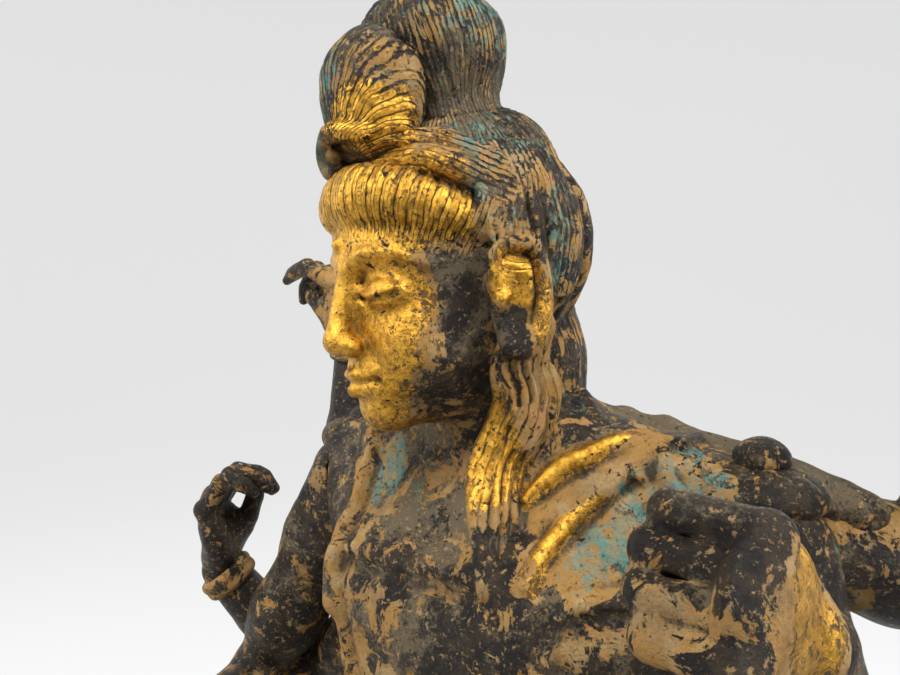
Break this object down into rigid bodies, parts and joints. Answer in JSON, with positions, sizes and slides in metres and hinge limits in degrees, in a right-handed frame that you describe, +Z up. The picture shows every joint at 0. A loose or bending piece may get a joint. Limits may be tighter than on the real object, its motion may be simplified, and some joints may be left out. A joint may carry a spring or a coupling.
{
  "type": "seated figure statue",
  "caption": "Seated many-armed devotional figure in cast and gilded brass with a tall two-lobed topknot, arms raised round the body, on a round lotus throne.",
  "frame": {"origin": "centre of the throne's foot, on the surface it stands on", "axes": "+Z up through the topknot; the figure faces -Y and its own left hand side is +X"},
  "size_m": [0.216, 0.216, 0.3265],
  "materials": {
    "dark_bronze": "dark patina with flakes of ochre paint",
    "gilt_bronze": "worn gold leaf over dark patina",
    "painted_bronze": "worn turquoise and ochre paint over dark patina",
    "throne_bronze": "dark patina with worn gold leaf on the raised parts",
    "plate_brass": "dull rolled brass",
    "fitting_brass": "dull turned brass",
    "rod_steel": "plain steel"
  },
  "bodies": {
    "root": {"plinth": "throne_bronze", "base_plate": "plate_brass", "base_plate_screws": "fitting_brass", "lower_lotus": "throne_bronze", "drum": "throne_bronze", "bead_ring": "throne_bronze", "upper_lotus": "throne_bronze", "seat_disc": "throne_bronze", "tie_rod": "rod_steel", "tie_washer": "rod_steel", "tie_nut": "fitting_brass", "legs": "painted_bronze", "waist_sash": "gilt_bronze", "sash_knot": "gilt_bronze", "torso": "painted_bronze", "head": "gilt_bronze", "neck_pin": "fitting_brass", "front_chignon": "gilt_bronze", "topknot": "painted_bronze", "left_hair_lock": "gilt_bronze", "right_hair_lock": "gilt_bronze", "left_front_arm": "dark_bronze", "right_front_arm": "dark_bronze", "left_middle_arm": "dark_bronze", "right_middle_arm": "dark_bronze", "left_upper_arm": "dark_bronze", "right_upper_arm": "dark_bronze", "left_front_hand": "dark_bronze", "right_front_hand": "dark_bronze", "left_middle_hand": "dark_bronze", "right_middle_hand": "dark_bronze", "left_upper_hand": "dark_bronze", "right_upper_hand": "dark_bronze", "bracelets": "gilt_bronze", "shoulder_rivets": "fitting_brass", "arm_pins": "fitting_brass"}
  },
  "joints": []
}
